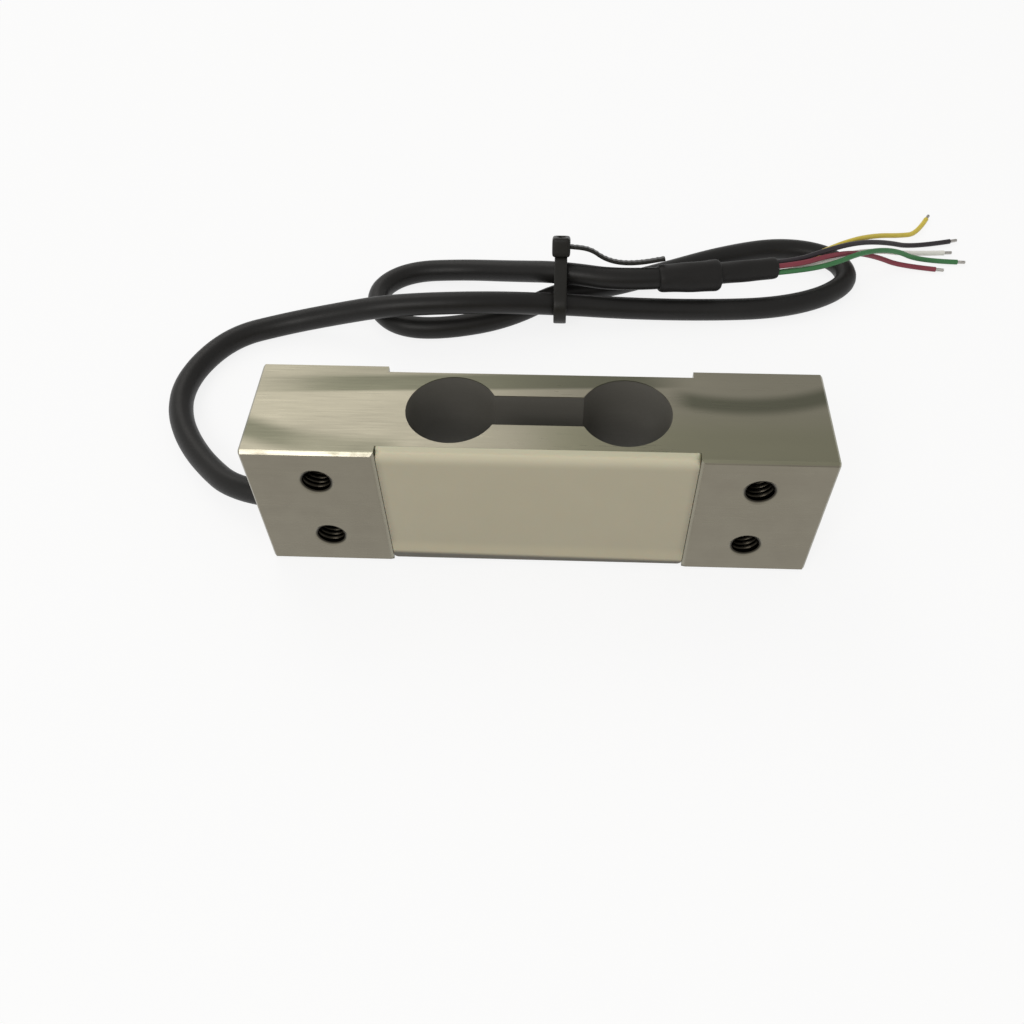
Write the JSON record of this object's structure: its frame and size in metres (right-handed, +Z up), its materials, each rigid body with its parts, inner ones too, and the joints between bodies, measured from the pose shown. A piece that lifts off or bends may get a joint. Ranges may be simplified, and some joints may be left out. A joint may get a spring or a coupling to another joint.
{
  "type": "single point load cell",
  "caption": "Aluminium bar load cell with a binocular cut-out, tapped holes at both ends, moulded gauge covers and a tied cable with bare cores.",
  "frame": {"origin": "middle of the long side face that the block stands on", "axes": "+X along the block, away from the cable end; +Y through its thickness, from the front mounting face to the rear one; +Z up, across its width"},
  "size_m": [0.1856, 0.1153, 0.03],
  "materials": {
    "aluminium": "milled and extruded, satin",
    "cover_silicone": "cream silicone, semi-gloss",
    "gauge_film": "amber film with constantan foil",
    "terminal_board": "glass-epoxy with solder",
    "resistor_ceramic": "ceramic chip with tinned caps",
    "enamelled_copper": "enamelled",
    "seal_rubber": "matt",
    "cable_jacket": "soft PVC, semi-matt",
    "shrink_sleeve": "polyolefin, matt",
    "core_filler": "bundled cores",
    "tie_nylon": "nylon, satin",
    "tinned_copper": "tinned strands",
    "core_yellow": "PVC insulation",
    "core_black": "PVC insulation",
    "core_red": "PVC insulation",
    "core_green": "PVC insulation",
    "core_white": "PVC insulation"
  },
  "bodies": {
    "root": {"spring_element": "aluminium", "front_cover": "cover_silicone", "rear_cover": "cover_silicone", "gauge_front_left": "gauge_film", "gauge_front_right": "gauge_film", "gauge_rear_left": "gauge_film", "gauge_rear_right": "gauge_film", "terminal_strip_front": "terminal_board", "terminal_strip_rear": "terminal_board", "span_resistor": "resistor_ceramic", "zero_resistor": "resistor_ceramic", "bridge_wires_front": "enamelled_copper", "bridge_wires_rear": "enamelled_copper", "link_wires": "enamelled_copper", "cable_seal": "seal_rubber", "cable_jacket": "cable_jacket", "shrink_sleeve": "shrink_sleeve", "sleeve_collar": "shrink_sleeve", "core_bundle": "core_filler", "cable_tie": "tie_nylon", "core_yellow": "core_yellow", "tip_yellow": "tinned_copper", "core_black": "core_black", "tip_black": "tinned_copper", "core_red": "core_red", "tip_red": "tinned_copper", "core_green": "core_green", "tip_green": "tinned_copper", "core_white": "core_white", "tip_white": "tinned_copper", "lead_red": "core_red", "lead_black": "core_black", "lead_green": "core_green", "lead_white": "core_white"}
  },
  "joints": []
}
